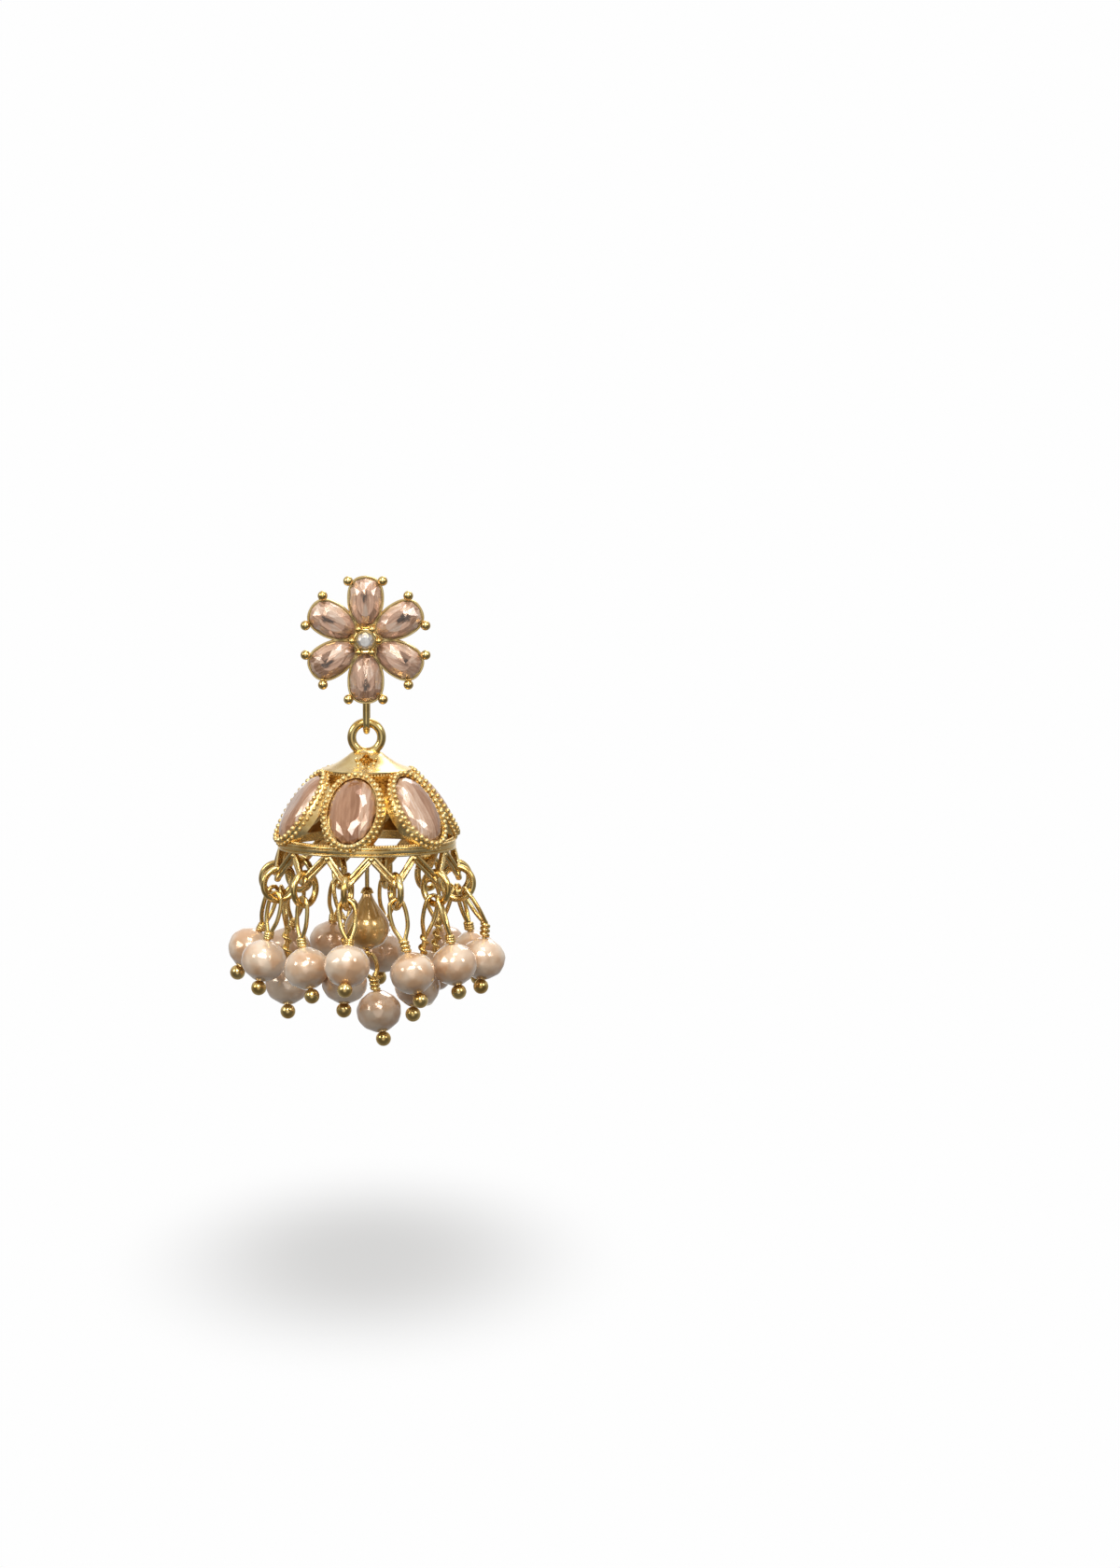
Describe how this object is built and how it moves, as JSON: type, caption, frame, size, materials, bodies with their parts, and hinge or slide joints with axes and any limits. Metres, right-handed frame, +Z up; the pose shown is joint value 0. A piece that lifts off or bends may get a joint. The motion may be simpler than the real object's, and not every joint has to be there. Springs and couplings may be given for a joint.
{
  "type": "jhumka earring",
  "caption": "Bell-shaped drop earring: a flower stud of pear stones carries a link and a pierced bell with oval stones, jump rings and faceted bead drops.",
  "frame": {"origin": "centre of the flower's back face, where the post enters the ear lobe", "axes": "+Z up along the hanging earring, the flower faces -Y and the ear post points along +Y"},
  "size_m": [0.03, 0.0297, 0.051],
  "materials": {
    "gold_plated_brass": "bright gold plate over cast and wire brass",
    "champagne_stone": "foil-backed pear-cut glass, champagne pink",
    "peach_stone": "foil-backed oval glass with long soft facets, peach pink",
    "smoke_stone": "foil-backed round glass, grey white",
    "pearl_bead": "faceted glass bead with a peach pearl coat",
    "honey_drop": "golden brown lustre glass teardrop"
  },
  "bodies": {
    "stud": {"flower_setting": "gold_plated_brass", "ear_post": "gold_plated_brass", "centre_stone": "smoke_stone", "petal_stone_1": "champagne_stone", "petal_stone_2": "champagne_stone", "petal_stone_3": "champagne_stone", "petal_stone_4": "champagne_stone", "petal_stone_5": "champagne_stone", "petal_stone_6": "champagne_stone"},
    "link": {"drop_link": "gold_plated_brass"},
    "bell": {"dome_cage": "gold_plated_brass", "oval_stone_1": "peach_stone", "oval_stone_2": "peach_stone", "oval_stone_3": "peach_stone", "oval_stone_4": "peach_stone", "oval_stone_5": "peach_stone", "oval_stone_6": "peach_stone", "jump_ring_01": "gold_plated_brass", "jump_ring_02": "gold_plated_brass", "jump_ring_03": "gold_plated_brass", "jump_ring_04": "gold_plated_brass", "jump_ring_05": "gold_plated_brass", "jump_ring_06": "gold_plated_brass", "jump_ring_07": "gold_plated_brass", "jump_ring_08": "gold_plated_brass", "jump_ring_09": "gold_plated_brass", "jump_ring_10": "gold_plated_brass", "jump_ring_11": "gold_plated_brass", "jump_ring_12": "gold_plated_brass", "short_drop_01": "pearl_bead", "short_drop_02": "pearl_bead", "short_drop_03": "pearl_bead", "short_drop_04": "pearl_bead", "short_drop_05": "pearl_bead", "short_drop_06": "pearl_bead", "short_drop_07": "pearl_bead", "short_drop_08": "pearl_bead", "short_drop_09": "pearl_bead", "short_drop_10": "pearl_bead", "short_drop_11": "pearl_bead", "short_drop_12": "pearl_bead", "long_drop_1": "pearl_bead", "long_drop_2": "pearl_bead", "long_drop_3": "pearl_bead", "long_drop_4": "pearl_bead", "long_drop_5": "pearl_bead", "centre_drop": "honey_drop", "lowest_drop": "pearl_bead"}
  },
  "joints": [
    {"name": "link_swing", "type": "hinge", "parent": "stud", "child": "link", "pos_m": [0, 0.0016, -0.00547], "axis": [0, 1, 0], "range_deg": [-50, 50]},
    {"name": "bell_swing", "type": "hinge", "parent": "link", "child": "bell", "pos_m": [0, 0.0016, -0.00907], "axis": [1, 0, 0], "range_deg": [-50, 50]}
  ]
}
